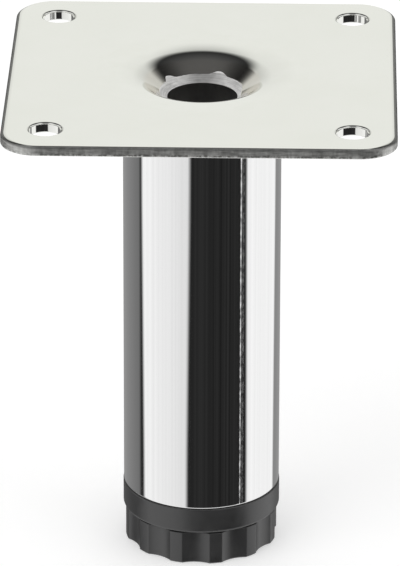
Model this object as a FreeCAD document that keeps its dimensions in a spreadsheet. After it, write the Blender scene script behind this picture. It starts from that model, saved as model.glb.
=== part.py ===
# Height adjustable table leg: a pressed plate welded on a round tube, with a
# plastic insert in the tube's lower end and a fluted foot on a threaded spindle.
# Millimetres and degrees. Origin on the floor under the middle of the foot, +Z up.
import FreeCAD, Part
import math
import os
import re

import Sketcher

# Driving sizes, one for each size that can be set by itself.
SIZES = {
    # Pressed plate.
    "plate_width": 73.0,
    "plate_depth": 73.0,
    "plate_thickness": 2.0,
    "plate_corner_radius": 7.0,
    "plate_edge_chamfer": 0.35,
    "screw_edge_distance": 8.25,
    "screw_hole_diameter": 6.2,
    "screw_hole_chamfer": 0.15,
    # Neck drawn down in the middle of the plate: slopes from level, radii on its under side.
    "neck_mouth_overhang": 5.0,
    "neck_tube_gap": 0.4,
    "neck_dish_slope": 14.0,
    "neck_bend_radius": 6.0,
    "neck_wall_slope": 51.0,
    "neck_shear_height": 1.09,
    "neck_shear_inset": 1.7,
    # Round tube.
    "tube_diameter": 30.0,
    "tube_wall": 1.5,
    "tube_length": 81.45,
    "tube_end_chamfer": 0.3,
    # Insert pressed into the tube, with a collar under the tube's end.
    "collar_overhang": 0.1,
    "collar_height": 5.1,
    "collar_top_chamfer": 0.25,
    "collar_bottom_chamfer": 0.4,
    "plug_length": 16.0,
    "plug_top_chamfer": 1.0,
    "rib_height": 0.7,
    "rib_width": 1.5,
    "rib_count": 8,
    "rib_fit": 0.02,
    # Hexagon nut held in the insert.
    "nut_across_flats": 13.0,
    "nut_height": 6.5,
    "nut_recess": 0.3,
    "nut_fit": 0.1,
    "nut_chamfer_slope": 30.0,
    # Threaded spindle, with the flange that the foot is moulded round.
    "thread_diameter": 8.0,
    "thread_fit": 0.05,
    "spindle_bore_gap": 0.5,
    "spindle_travel": 15.0,
    "spindle_spare": 2.5,
    "spindle_tip_chamfer": 1.0,
    "flange_diameter": 14.0,
    "flange_height": 2.5,
    "flange_fit": 0.05,
    # Fluted foot.
    "foot_diameter": 29.4,
    "foot_edge_chamfer": 0.3,
    "foot_rim_width": 4.7,
    "foot_recess_depth": 0.8,
    "foot_floor": 1.4,
    "foot_roof": 1.75,
    "flute_count": 12,
    "flute_radius": 6.3,
    "flute_depth": 0.8,
    "flute_rest_angle": -2.7,
    "seat_gap": 0.2,
}

# Sizes that follow from the driving ones, worked out in the same sheet.
FORMULAS = {
    "tube_radius": "tube_diameter / 2",
    "tube_bore_radius": "tube_radius - tube_wall",
    "screw_offset_x": "plate_width / 2 - screw_edge_distance",
    "screw_offset_y": "plate_depth / 2 - screw_edge_distance",
    # The neck's upper surface: mouth, end of the dish, end of the bend, sheared hole.
    "mouth_radius": "tube_radius + neck_mouth_overhang",
    "neck_dish_radius": "(mouth_radius - tube_bore_radius + neck_tube_gap) / sin(neck_dish_slope * 1 deg)",
    "dish_top_radius": "neck_dish_radius + plate_thickness",
    "bend_top_radius": "neck_bend_radius + plate_thickness",
    "dish_end_radius": "mouth_radius - dish_top_radius * sin(neck_dish_slope * 1 deg)",
    "dish_end_level": "plate_thickness - dish_top_radius * (1 - cos(neck_dish_slope * 1 deg))",
    "bend_axis_radius": "dish_end_radius + bend_top_radius * sin(neck_dish_slope * 1 deg)",
    "bend_axis_level": "dish_end_level - bend_top_radius * cos(neck_dish_slope * 1 deg)",
    "bend_end_radius": "bend_axis_radius - bend_top_radius * sin(neck_wall_slope * 1 deg)",
    "bend_end_level": "bend_axis_level + bend_top_radius * cos(neck_wall_slope * 1 deg)",
    "neck_end_level": "bend_end_level - neck_shear_height",
    "neck_hole_radius": "bend_end_radius - neck_shear_inset",
    # Its under surface lies one sheet thickness away, square to the slope.
    "dish_under_radius": "dish_end_radius + plate_thickness * sin(neck_dish_slope * 1 deg)",
    "dish_under_level": "dish_end_level - plate_thickness * cos(neck_dish_slope * 1 deg)",
    "neck_lip_radius": "bend_axis_radius"
    " - sqrt(neck_bend_radius ^ 2 - (neck_end_level - bend_axis_level) ^ 2)",
    # The tube's end meets the dish at its bore, this far below the plate's flat under side.
    "tube_seat_depth": "neck_dish_radius"
    " - sqrt(neck_dish_radius ^ 2 - (mouth_radius - tube_bore_radius) ^ 2)",
    # Insert.
    "collar_radius": "tube_radius + collar_overhang",
    "plug_radius": "tube_bore_radius - rib_height",
    "plug_top": "collar_height + plug_length",
    "rib_top": "plug_top - plug_top_chamfer",
    "rib_outer_radius": "sqrt((tube_bore_radius - rib_fit) ^ 2 - (rib_width / 2) ^ 2)",
    "rib_root_radius": "plug_radius - rib_height",
    "nut_corner_radius": "nut_across_flats / 2 / cos(30 deg)",
    "nut_chamfer_height": "(nut_corner_radius - nut_across_flats / 2) * tan(nut_chamfer_slope * 1 deg)",
    "pocket_corner_radius": "(nut_across_flats / 2 + nut_fit) / cos(30 deg)",
    "pocket_depth": "nut_recess + nut_height",
    # Spindle and foot.
    "thread_radius": "thread_diameter / 2",
    "running_radius": "thread_radius + thread_fit",
    "spindle_bore_radius": "thread_radius + spindle_bore_gap",
    "flange_radius": "flange_diameter / 2",
    "cavity_floor": "foot_recess_depth + foot_floor",
    "cavity_top": "cavity_floor + flange_height + flange_fit",
    "cavity_radius": "flange_radius + flange_fit",
    "foot_height": "cavity_top + foot_roof",
    "foot_radius": "foot_diameter / 2",
    "foot_recess_radius": "foot_radius - foot_rim_width",
    "flute_centre_radius": "foot_radius - flute_depth + flute_radius",
    # Levels above the floor at which the pieces seat on each other.
    "insert_level": "foot_height + seat_gap",
    "nut_level": "insert_level + nut_recess",
    "tube_level": "insert_level + collar_height",
    "plate_level": "tube_level + tube_length + tube_seat_depth",
    "spindle_top": "nut_level + nut_height + spindle_travel + spindle_spare",
    "spindle_length": "spindle_top - cavity_floor",
}

doc = FreeCAD.newDocument("adjustable_table_leg")
sheet = doc.addObject("Spreadsheet::Sheet", "Sizes")


def fill_sheet():
    # Column A names a size, column B holds it under that name as its alias.
    entries = [(name, str(number)) for name, number in SIZES.items()]
    entries += [(name, "=" + formula) for name, formula in FORMULAS.items()]
    for row, (name, content) in enumerate(entries, start=1):
        sheet.set(f"A{row}", name)
        sheet.set(f"B{row}", content)
        sheet.setAlias(f"B{row}", name)
    doc.recompute()


def bound(formula):
    # Puts the sheet's name before each size in a formula.
    return re.sub(r"\b[a-z]+(?:_[a-z]+)+\b", r"Sizes.\g<0>", formula)


def value(formula):
    return float(sheet.evalExpression(bound(formula)))


def new_body(label, level=None):
    body = doc.addObject("PartDesign::Body", label)
    body.Label = label
    if level:
        body.setExpression("Placement.Base.z", bound(level))
    return body


def origin_feature(body, role):
    return next(f for f in body.Origin.OriginFeatures if f.Role == role)


def new_sketch(body, name, plane):
    sketch = body.newObject("Sketcher::SketchObject", name)
    sketch.AttachmentSupport = (origin_feature(body, plane), [""])
    sketch.MapMode = "FlatFace"
    return sketch


def bind_size(sketch, constraint, formula):
    index = sketch.addConstraint(constraint)
    sketch.setExpression(f"Constraints[{index}]", bound(formula))


def bind_point(sketch, geometry, point, x, y):
    # Ties a point's two coordinates to formulas; a coordinate of 0 puts it on the axis.
    if x == "0":
        sketch.addConstraint(Sketcher.Constraint("PointOnObject", geometry, point, -2))
    else:
        bind_size(sketch, Sketcher.Constraint("DistanceX", -1, 1, geometry, point, value(x)), x)
    if y == "0":
        sketch.addConstraint(Sketcher.Constraint("PointOnObject", geometry, point, -1))
    else:
        bind_size(sketch, Sketcher.Constraint("DistanceY", -1, 1, geometry, point, value(y)), y)


def arc_between(start, end, radius):
    # Arc of less than half a turn. It turns left for a positive radius, right for a negative one.
    chord = end.sub(start)
    left = FreeCAD.Vector(-chord.y, chord.x, 0).normalize()
    offset = math.sqrt(radius ** 2 - (chord.Length / 2) ** 2)
    side = math.copysign(1, radius)
    centre = start.add(end).multiply(0.5).add(left.multiply(side * offset))
    angles = [math.atan2(p.y - centre.y, p.x - centre.x) for p in (start, end)]
    circle = Part.Circle(centre, FreeCAD.Vector(0, 0, 1), abs(radius))
    return Part.ArcOfCircle(circle, *(angles if radius > 0 else reversed(angles)))


def draw_profile(sketch, corners):
    # A closed outline. Each corner is (x, y), or (x, y, radius) where an arc leaves it.
    points = [FreeCAD.Vector(value(corner[0]), value(corner[1]), 0) for corner in corners]
    first = sketch.GeometryCount
    ends = []
    for index, corner in enumerate(corners):
        start = points[index]
        end = points[(index + 1) % len(points)]
        radius = value(corner[2]) if len(corner) == 3 else 0
        if radius:
            sketch.addGeometry(arc_between(start, end, radius), False)
        else:
            sketch.addGeometry(Part.LineSegment(start, end), False)
        ends.append((2, 1) if radius < 0 else (1, 2))
    for index, corner in enumerate(corners):
        edge = first + index
        following = (index + 1) % len(corners)
        sketch.addConstraint(
            Sketcher.Constraint("Coincident", edge, ends[index][1], first + following, ends[following][0])
        )
        bind_point(sketch, edge, ends[index][0], corner[0], corner[1])
        if len(corner) == 3:
            size = corner[2].lstrip("-")
            bind_size(sketch, Sketcher.Constraint("Radius", edge, value(size)), size)


def draw_circle(sketch, x, y, radius):
    centre = FreeCAD.Vector(value(x), value(y), 0)
    index = sketch.addGeometry(Part.Circle(centre, FreeCAD.Vector(0, 0, 1), value(radius)), False)
    if x == "0" and y == "0":
        sketch.addConstraint(Sketcher.Constraint("Coincident", index, 3, -1, 1))
    else:
        bind_point(sketch, index, 3, x, y)
    bind_size(sketch, Sketcher.Constraint("Radius", index, value(radius)), radius)


def draw_rectangle(sketch, left, right, bottom, top):
    draw_profile(sketch, [(left, bottom), (right, bottom), (right, top), (left, top)])


def draw_hexagon(sketch, corner_radius):
    # Two corners lie on the X axis.
    reach = f"{corner_radius} / 2"
    rise = f"{corner_radius} * sin(60 deg)"
    upper = [(corner_radius, "0"), (reach, rise), (f"-{reach}", rise)]
    lower = [(f"-{corner_radius}", "0"), (f"-{reach}", f"-{rise}"), (reach, f"-{rise}")]
    draw_profile(sketch, upper + lower)


def add_feature(body, kind, name, sketch=None, **sizes):
    feature = body.newObject("PartDesign::" + kind, name)
    if sketch:
        feature.Profile = sketch
    for size, formula in sizes.items():
        feature.setExpression(size, bound(formula))
    return feature


def revolve(body, kind, name, sketch):
    feature = add_feature(body, kind, name, sketch)
    feature.ReferenceAxis = (sketch, ["V_Axis"])
    feature.Angle = 360
    doc.recompute()
    return feature


def cut_upwards(body, name, sketch, depth=None):
    # A pocket from the sketch in the +Z direction, right through where no depth is given.
    before = body.Shape.Volume
    pocket = add_feature(body, "Pocket", name, sketch)
    pocket.Reversed = True
    if depth:
        pocket.setExpression("Length", bound(depth))
    else:
        pocket.Type = "ThroughAll"
    doc.recompute()
    if not body.Shape.Volume < before:
        raise RuntimeError(f"{name} removes nothing")
    return pocket


def repeat_round(body, name, feature, count):
    pattern = body.newObject("PartDesign::PolarPattern", name)
    pattern.Originals = [feature]
    pattern.Axis = (origin_feature(body, "Z_Axis"), [""])
    pattern.Angle = 360
    pattern.setExpression("Occurrences", bound(count))
    body.Tip = pattern
    doc.recompute()
    return pattern


def finish_edges(body, kind, name, size, chosen):
    # A Fillet or a Chamfer on the edges of the body so far that the test picks.
    base = body.Tip
    names = [f"Edge{i}" for i, edge in enumerate(base.Shape.Edges, start=1) if chosen(edge)]
    finish = body.newObject("PartDesign::" + kind, name)
    finish.Base = (base, names)
    finish.setExpression("Radius" if kind == "Fillet" else "Size", bound(size))
    doc.recompute()
    return finish


def level_edge(edge, level):
    return max(abs(v.Z - value(level)) for v in edge.Vertexes) < 1e-6


def rim(edge, level, radius):
    # A round edge of this radius about the Z axis, at this level.
    is_round = isinstance(edge.Curve, Part.Circle) and abs(edge.Curve.Radius - value(radius)) < 1e-6
    return is_round and abs(edge.Curve.Center.z - value(level)) < 1e-6


def make_mounting_plate():
    body = new_body("mounting_plate", "plate_level")
    outline = new_sketch(body, "plate_outline", "XY_Plane")
    draw_rectangle(outline, "-plate_width / 2", "plate_width / 2", "-plate_depth / 2", "plate_depth / 2")
    add_feature(body, "Pad", "plate_blank", outline, Length="plate_thickness")
    doc.recompute()
    finish_edges(
        body,
        "Fillet",
        "plate_corners",
        "plate_corner_radius",
        lambda edge: abs(edge.Vertexes[0].Z - edge.Vertexes[-1].Z) > value("plate_thickness") / 2,
    )
    finish_edges(
        body,
        "Chamfer",
        "plate_top_edge",
        "plate_edge_chamfer",
        lambda edge: level_edge(edge, "plate_thickness"),
    )

    holes = new_sketch(body, "screw_holes", "XY_Plane")
    for x in ("-screw_offset_x", "screw_offset_x"):
        for y in ("-screw_offset_y", "screw_offset_y"):
            draw_circle(holes, x, y, "screw_hole_diameter / 2")
    cut_upwards(body, "screw_hole_punching", holes)
    finish_edges(
        body,
        "Chamfer",
        "screw_hole_edges",
        "screw_hole_chamfer",
        lambda edge: rim(edge, "plate_thickness", "screw_hole_diameter / 2"),
    )

    mouth = new_sketch(body, "neck_mouth", "XY_Plane")
    draw_circle(mouth, "0", "0", "mouth_radius")
    cut_upwards(body, "neck_mouth_cut", mouth)
    neck = new_sketch(body, "neck_section", "XZ_Plane")
    draw_profile(
        neck,
        [
            ("mouth_radius", "plate_thickness", "dish_top_radius"),
            ("dish_end_radius", "dish_end_level", "bend_top_radius"),
            ("bend_end_radius", "bend_end_level"),
            ("neck_hole_radius", "neck_end_level"),
            ("neck_lip_radius", "neck_end_level", "-neck_bend_radius"),
            ("dish_under_radius", "dish_under_level", "-neck_dish_radius"),
            ("mouth_radius", "0"),
        ],
    )
    revolve(body, "Revolution", "drawn_neck", neck)
    return body


def make_leg_tube():
    body = new_body("leg_tube", "tube_level")
    section = new_sketch(body, "tube_section", "XY_Plane")
    draw_circle(section, "0", "0", "tube_radius")
    draw_circle(section, "0", "0", "tube_bore_radius")
    add_feature(body, "Pad", "tube_length_of_pipe", section, Length="tube_length")
    doc.recompute()
    finish_edges(
        body,
        "Chamfer",
        "tube_lower_edge",
        "tube_end_chamfer",
        lambda edge: rim(edge, "0", "tube_radius"),
    )
    return body


def make_tube_insert():
    body = new_body("tube_insert", "insert_level")
    section = new_sketch(body, "insert_section", "XZ_Plane")
    draw_profile(
        section,
        [
            ("spindle_bore_radius", "0"),
            ("collar_radius", "0"),
            ("collar_radius", "collar_height"),
            ("plug_radius", "collar_height"),
            ("plug_radius", "rib_top"),
            ("plug_radius - plug_top_chamfer", "plug_top"),
            ("spindle_bore_radius", "plug_top"),
        ],
    )
    revolve(body, "Revolution", "insert_moulding", section)
    finish_edges(
        body,
        "Chamfer",
        "collar_bottom_edge",
        "collar_bottom_chamfer",
        lambda edge: rim(edge, "0", "collar_radius"),
    )
    finish_edges(
        body,
        "Chamfer",
        "collar_top_edge",
        "collar_top_chamfer",
        lambda edge: rim(edge, "collar_height", "collar_radius"),
    )

    rib = new_sketch(body, "rib_section", "XY_Plane")
    draw_rectangle(rib, "rib_root_radius", "rib_outer_radius", "-rib_width / 2", "rib_width / 2")
    first_rib = add_feature(body, "Pad", "first_rib", rib, Length="rib_top")
    doc.recompute()
    repeat_round(body, "ribs", first_rib, "rib_count")

    pocket = new_sketch(body, "nut_pocket_outline", "XY_Plane")
    draw_hexagon(pocket, "pocket_corner_radius")
    cut_upwards(body, "nut_pocket", pocket, "pocket_depth")
    return body


def make_thread_nut():
    body = new_body("thread_nut", "nut_level")
    outline = new_sketch(body, "nut_outline", "XY_Plane")
    draw_hexagon(outline, "nut_corner_radius")
    draw_circle(outline, "0", "0", "running_radius")
    add_feature(body, "Pad", "nut_blank", outline, Length="nut_height")
    doc.recompute()
    chamfer = new_sketch(body, "nut_chamfer_section", "XZ_Plane")
    flat = "nut_across_flats / 2"
    draw_profile(
        chamfer,
        [(flat, "0"), ("nut_corner_radius", "0"), ("nut_corner_radius", "nut_chamfer_height")],
    )
    draw_profile(
        chamfer,
        [
            (flat, "nut_height"),
            ("nut_corner_radius", "nut_height - nut_chamfer_height"),
            ("nut_corner_radius", "nut_height"),
        ],
    )
    before = body.Shape.Volume
    revolve(body, "Groove", "nut_chamfers", chamfer)
    if not body.Shape.Volume < before:
        raise RuntimeError("the nut's chamfers remove nothing")
    return body


def make_adjusting_spindle():
    body = new_body("adjusting_spindle", "cavity_floor")
    section = new_sketch(body, "spindle_section", "XZ_Plane")
    draw_profile(
        section,
        [
            ("0", "0"),
            ("flange_radius", "0"),
            ("flange_radius", "flange_height"),
            ("thread_radius", "flange_height"),
            ("thread_radius", "spindle_length - spindle_tip_chamfer"),
            ("thread_radius - spindle_tip_chamfer", "spindle_length"),
            ("0", "spindle_length"),
        ],
    )
    revolve(body, "Revolution", "spindle_turning", section)
    return body


def make_adjusting_foot():
    body = new_body("adjusting_foot")
    section = new_sketch(body, "foot_section", "XZ_Plane")
    draw_profile(
        section,
        [
            ("0", "foot_recess_depth"),
            ("foot_recess_radius", "foot_recess_depth"),
            ("foot_recess_radius", "0"),
            ("foot_radius", "0"),
            ("foot_radius", "foot_height"),
            ("running_radius", "foot_height"),
            ("running_radius", "cavity_top"),
            ("cavity_radius", "cavity_top"),
            ("cavity_radius", "cavity_floor"),
            ("0", "cavity_floor"),
        ],
    )
    revolve(body, "Revolution", "foot_moulding", section)
    finish_edges(
        body,
        "Chamfer",
        "foot_lower_edge",
        "foot_edge_chamfer",
        lambda edge: rim(edge, "0", "foot_radius"),
    )
    flute = new_sketch(body, "flute_outline", "XY_Plane")
    draw_circle(
        flute,
        "flute_centre_radius * cos(flute_rest_angle * 1 deg)",
        "flute_centre_radius * sin(flute_rest_angle * 1 deg)",
        "flute_radius",
    )
    first_flute = cut_upwards(body, "first_flute", flute)
    repeat_round(body, "flutes", first_flute, "flute_count")
    return body


def check_document(bodies):
    for item in doc.Objects:
        if "Invalid" in item.State or "Error" in item.State:
            raise RuntimeError(f"{item.Label} failed: {item.State}")
    for body in bodies:
        if body.Shape.isNull() or not body.Shape.isValid() or len(body.Shape.Solids) != 1:
            raise RuntimeError(f"{body.Label} is not one valid solid")


fill_sheet()
bodies = [
    make_mounting_plate(),
    make_leg_tube(),
    make_tube_insert(),
    make_thread_nut(),
    make_adjusting_spindle(),
    make_adjusting_foot(),
]
doc.recompute()
check_document(bodies)
os.makedirs("parts", exist_ok=True)
for body in bodies:
    box = body.Shape.BoundBox
    print(f"{body.Label}: {body.Shape.Volume:.1f} mm3, z {box.ZMin:.2f} to {box.ZMax:.2f}")
    body.Shape.exportStep(f"parts/{body.Label}.step")
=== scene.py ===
import bpy
import bmesh
from math import acos, ceil, cos, pi, radians, sin, tan, tau
from mathutils import Matrix, Vector


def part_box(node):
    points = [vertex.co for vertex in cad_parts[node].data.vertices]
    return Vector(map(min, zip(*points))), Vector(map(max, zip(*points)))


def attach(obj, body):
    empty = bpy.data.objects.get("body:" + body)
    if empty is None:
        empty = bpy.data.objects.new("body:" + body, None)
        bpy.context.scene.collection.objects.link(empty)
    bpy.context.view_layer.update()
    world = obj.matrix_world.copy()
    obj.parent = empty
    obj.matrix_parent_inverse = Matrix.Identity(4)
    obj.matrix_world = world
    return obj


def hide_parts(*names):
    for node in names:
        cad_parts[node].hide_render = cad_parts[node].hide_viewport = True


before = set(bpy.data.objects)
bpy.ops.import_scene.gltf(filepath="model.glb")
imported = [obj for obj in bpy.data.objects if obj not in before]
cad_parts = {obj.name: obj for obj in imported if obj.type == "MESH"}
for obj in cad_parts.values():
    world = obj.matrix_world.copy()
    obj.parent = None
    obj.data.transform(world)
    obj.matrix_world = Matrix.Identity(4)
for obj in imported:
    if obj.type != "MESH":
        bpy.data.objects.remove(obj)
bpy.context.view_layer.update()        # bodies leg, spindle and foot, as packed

mm = 0.001
scene = bpy.context.scene
scene.view_settings.view_transform = "Standard"


# Small helpers for node trees, shared by materials, world and Geometry Nodes

def plug(tree, value, socket):
    if isinstance(value, bpy.types.NodeSocket):
        tree.links.new(value, socket)
    else:
        socket.default_value = value


def addNode(tree, kind, settings=None, **inputs):
    node = tree.nodes.new(kind)
    for setting, value in (settings or {}).items():
        setattr(node, setting, value)
    for label, value in inputs.items():
        plug(tree, value, node.inputs[label])
    return node


def calc(tree, operation, *values):
    node = addNode(tree, "ShaderNodeMath", {"operation": operation})
    for value, socket in zip(values, node.inputs):
        plug(tree, value, socket)
    return node.outputs[0]


def between(tree, value, low, high, outLow=0.0, outHigh=1.0, smooth=False):
    node = addNode(tree, "ShaderNodeMapRange",
                   {"interpolation_type": "SMOOTHSTEP" if smooth else "LINEAR"})
    for given, socket in zip((value, low, high, outLow, outHigh), node.inputs):
        plug(tree, given, socket)
    return node.outputs[0]


def splitAxes(tree, vector):
    return addNode(tree, "ShaderNodeSeparateXYZ", Vector=vector).outputs


def mixColour(tree, share, first, second, blend="MIX"):
    node = addNode(tree, "ShaderNodeMix", {"data_type": "RGBA", "blend_type": blend})
    plug(tree, share, node.inputs[0])
    for colour, socket in ((first, node.inputs[6]), (second, node.inputs[7])):
        plug(tree, (*colour, 1.0) if isinstance(colour, tuple) else colour, socket)
    return node.outputs[2]


def grey(tone):
    return (tone,) * 3


# Finishes: what they share, and the two that are used on more than one piece

noiseSpan = (0.3, 0.7)   # most of a noise's values lie between these


def newFinish(name):
    finish = bpy.data.materials.new(name)
    finish.use_nodes = True
    tree = finish.node_tree
    place = addNode(tree, "ShaderNodeTexCoord").outputs["Object"]
    return finish, tree, tree.nodes["Principled BSDF"], place


def grain(tree, place, stretch, detail=3.0, rough=0.55):
    # noise with its own count per metre along x, y and z
    spread = addNode(tree, "ShaderNodeMapping", Vector=place, Scale=stretch)
    return addNode(tree, "ShaderNodeTexNoise", Vector=spread.outputs[0], Scale=1.0,
                   Detail=detail, Roughness=rough).outputs[0]


def mixGrain(tree, first, second, share):
    return calc(tree, "ADD", calc(tree, "MULTIPLY", first, share),
                calc(tree, "MULTIPLY", second, 1 - share))


def tint(tree, noise, dark, light, span=noiseSpan):
    # a colour from dark to light over the noise's span
    node = addNode(tree, "ShaderNodeValToRGB", Fac=noise)
    for element, place, colour in zip(node.color_ramp.elements, span, (dark, light)):
        element.position = place
        element.color = (*colour, 1.0)
    return node.outputs["Color"]


def vary(tree, noise, low, high, span=noiseSpan):
    return between(tree, noise, *span, low, high)


def dent(tree, height, depth, strength):
    return addNode(tree, "ShaderNodeBump", Height=height, Distance=depth * mm,
                   Strength=strength).outputs[0]


def coat(tree, shader, colour, roughness, metallic=0.0, normal=None):
    plug(tree, colour, shader.inputs["Base Color"])
    plug(tree, roughness, shader.inputs["Roughness"])
    shader.inputs["Metallic"].default_value = metallic
    if normal is not None:
        plug(tree, normal, shader.inputs["Normal"])


def blackPlastic(name):
    finish, tree, shader, place = newFinish(name)
    skinGrain = grain(tree, place, (5200, 5200, 5200), 2.0)
    cloud = grain(tree, place, (220, 220, 220), 4.0)
    coat(tree, shader, tint(tree, cloud, (0.014, 0.014, 0.0145), (0.023, 0.023, 0.0235)),
         vary(tree, cloud, 0.33, 0.42), normal=dent(tree, skinGrain, 0.02, 0.1))
    shader.inputs["IOR"].default_value = 1.6
    shader.inputs["Specular IOR Level"].default_value = 0.8
    return finish


def zincSteel():
    finish, tree, shader, place = newFinish("zinc_steel")
    cloud = grain(tree, place, (340, 340, 340), 4.0, 0.6)
    fine = grain(tree, place, (2600, 2600, 2600), 2.0)
    coat(tree, shader, tint(tree, cloud, (0.60, 0.615, 0.63), (0.74, 0.75, 0.765)),
         vary(tree, fine, 0.24, 0.38), 1.0, dent(tree, fine, 0.02, 0.2))
    return finish


# Turned and lofted meshes: sections are written in millimetres as radius and level

holdRun = 0.06           # straight run held beside each round, which keeps its shading there
roundStep = 12           # degrees between the rows of a round, or less
mergeWithin = 1e-7       # metres


def softSection(corners):
    # rounds the corners of a section and holds the straight runs beside each round
    rows = []
    for i, (radius, level, soft) in enumerate(corners):
        if not soft:
            rows.append((radius, level))
            continue
        here = Vector((radius, level))
        back = Vector(corners[i - 1][:2]) - here
        ahead = Vector(corners[i + 1][:2]) - here
        opening = back.angle(ahead)
        reach = soft / tan(opening / 2)
        back.normalize()
        ahead.normalize()
        centre = here + (back + ahead).normalized() * soft / sin(opening / 2)
        first, last = here + back * reach - centre, here + ahead * reach - centre
        rows.append(tuple(here + back * (reach + holdRun)))
        turns = max(3, ceil((pi - opening) / radians(roundStep)))
        sweep = first.angle(last)
        for k in range(turns + 1):
            share = k / turns
            spoke = (first * sin((1 - share) * sweep) + last * sin(share * sweep)) / sin(sweep)
            rows.append(tuple(centre + spoke))
        rows.append(tuple(here + ahead * (reach + holdRun)))
    return rows


def loopOf(bm, points):
    return [bm.verts.new(point) for point in points]


def circlePoints(radius, level, steps, start=0.0, middle=(0.0, 0.0)):
    return [Vector((middle[0] + radius * cos(start + tau * k / steps),
                    middle[1] + radius * sin(start + tau * k / steps), level)) * mm
            for k in range(steps)]


def skin(bm, first, second, finish=0):
    # faces between two loops; a loop of one point closes in a pole
    count = max(len(first), len(second))
    for k in range(count):
        around = [first[k % len(first)], first[(k + 1) % count % len(first)],
                  second[(k + 1) % count % len(second)], second[k % len(second)]]
        corners = list(dict.fromkeys(around))
        bm.faces.new(corners).material_index = finish


def skinRows(bm, loops, finish=0):
    for first, second in zip(loops, loops[1:]):
        skin(bm, first, second, finish)


def turn(bm, rows, steps, start=0.0):
    loops = []
    for radius, level in rows:
        if radius:
            loops.append(loopOf(bm, circlePoints(radius, level, steps, start)))
        else:
            loops.append(loopOf(bm, [Vector((0, 0, level * mm))]))
    skinRows(bm, loops)
    return loops


def putOnBench(name, bm, finishes):
    bmesh.ops.remove_doubles(bm, verts=bm.verts, dist=mergeWithin)
    bmesh.ops.recalc_face_normals(bm, faces=bm.faces)
    mesh = bpy.data.meshes.new(name)
    bm.to_mesh(mesh)
    bm.free()
    piece = bpy.data.objects.new(name, mesh)
    scene.collection.objects.link(piece)
    for finish in finishes:
        mesh.materials.append(finish)
    return piece


def smoothOff(piece, crease=40):
    piece.data.shade_smooth()
    piece.data.set_sharp_from_angle(angle=radians(crease))


# Geometry Nodes

length, count, stuff = "NodeSocketFloat", "NodeSocketInt", "NodeSocketMaterial"


def startTree(name, inputs):
    tree = bpy.data.node_groups.new(name, "GeometryNodeTree")
    for way in ("INPUT", "OUTPUT"):
        tree.interface.new_socket("Geometry", in_out=way, socket_type="NodeSocketGeometry")
    keys = {}
    for label, kind in inputs.items():
        socket = tree.interface.new_socket(label, in_out="INPUT", socket_type=kind)
        keys[label] = socket.identifier
    given = tree.nodes.new("NodeGroupInput")
    return tree, given.outputs, keys


def joinParts(tree, *parts):
    joined = tree.nodes.new("GeometryNodeJoinGeometry")
    for part in parts:
        tree.links.new(part, joined.inputs[0])
    return joined.outputs[0]


def closeTree(tree, geometry, finish):
    real = addNode(tree, "GeometryNodeRealizeInstances", Geometry=geometry)
    dressed = addNode(tree, "GeometryNodeSetMaterial", Geometry=real.outputs[0], Material=finish)
    result = tree.nodes.new("NodeGroupOutput")
    tree.links.new(dressed.outputs[0], result.inputs[0])


def growTree(piece, tree, keys, values):
    grower = piece.modifiers.new(tree.name, "NODES")
    grower.node_group = tree
    for label, value in values.items():     # set before the first run
        grower[keys[label]] = value
    graph = bpy.context.evaluated_depsgraph_get()
    grown = bpy.data.meshes.new_from_object(piece.evaluated_get(graph))
    plain = piece.data
    piece.modifiers.clear()
    piece.data = grown
    bpy.data.meshes.remove(plain)


# Mounting plate: a blanked square with a neck drawn down in its middle

plateLow, plateHigh = (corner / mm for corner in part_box("mounting_plate"))
plate = {
    "top": plateHigh.z,
    "thickness": 2.0,
    "cornerRadius": 7.0,
    "edgeRoll": (1.2, 0.3),  # how far in the edge rolls over, at the sides and at front and back
    "edgeDrop": 0.8,
    "edgeRows": 16,
    "lowerRound": 0.25,
    "stillBright": (0.4, 0.12),  # shares of the lower round and of the drop that stay bright
    "screwOffset": 28.25,
    "screwRadius": 3.1,
    "screwRound": 0.4,
    "mouthRadius": 20.0,
    "dishRadius": 36.0,      # both neck radii are on the upper side
    "dishSlope": 11.0,
    "bendRadius": 5.59,
    "wallSlope": 38.0,
    "wallRun": 3.07,         # straight wall under the bend, torn somewhere along it
    "shearHeight": 1.09,
    "shearInset": 1.7,
    "dishRows": 20,
    "bendRows": 24,
    "lipRows": 16,           # under the bend
    "underRows": 10,         # under the dish
    "wallShares": (0.35, 0.7, 0.95, 1.0),
    "tornShares": (0.03, 0.25, 0.5, 0.75, 0.93, 1.0),
    "tearStep": 0.05,
    "tearBack": 0.1,         # the torn edge's height on the wall at the back
    "tearLean": 0.4,         # and how far it falls by each side
    "burrs": (               # degrees from +X, height or notch, and reach in degrees each way
        {"at": 70, "height": 0.8, "reach": (14, 14)},
        {"at": 140, "height": 1.0, "reach": (15, 8)},
        {"at": 4, "height": -1.1, "reach": (40, 25)},
    ),
    "ragged": (              # fine waves along the tear, counted once round
        {"height": 0.03, "waves": 7, "shift": 0.6},
        {"height": 0.025, "waves": 17, "shift": 2.1},
        {"height": 0.015, "waves": 41, "shift": 0.0},
    ),
    "chromeTones": ((0.915, 0.920, 0.880), (0.935, 0.938, 0.905)),
    "neckTones": ((0.93, 0.905, 0.85), (0.97, 0.945, 0.89)),
    "neckDepth": (1.2, 2.0),     # depth over which the neck's plating turns warm and dull
    "burrHighlightDepth": (3.6, 3.2),     # depth over which the burrs take a painted highlight
    "paintedLightReach": (1.0, 4.5),   # reach to each side over which the torn edge's painted shade turns to painted highlight
    # painted shade in the torn edge's middle and painted highlight to its sides
    "paintedLightTones": (0.42, 0.85),
    "speckHeight": (0.8, 0.3),   # height on the rim under which it is speckled
    "speckContrast": 1.6,
    "paintedShadeHeight": (1.3, 1.65),  # height on the rim over which painted shade darkens it under its roll
    "paintedShadeTone": 0.5,
    "cornerSteps": 14,
    "screwSteps": 64,
    "neckSteps": 240,
}
onFlat, onNeck, onTear, onCut = range(4)     # the plate's finishes, in this order


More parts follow.
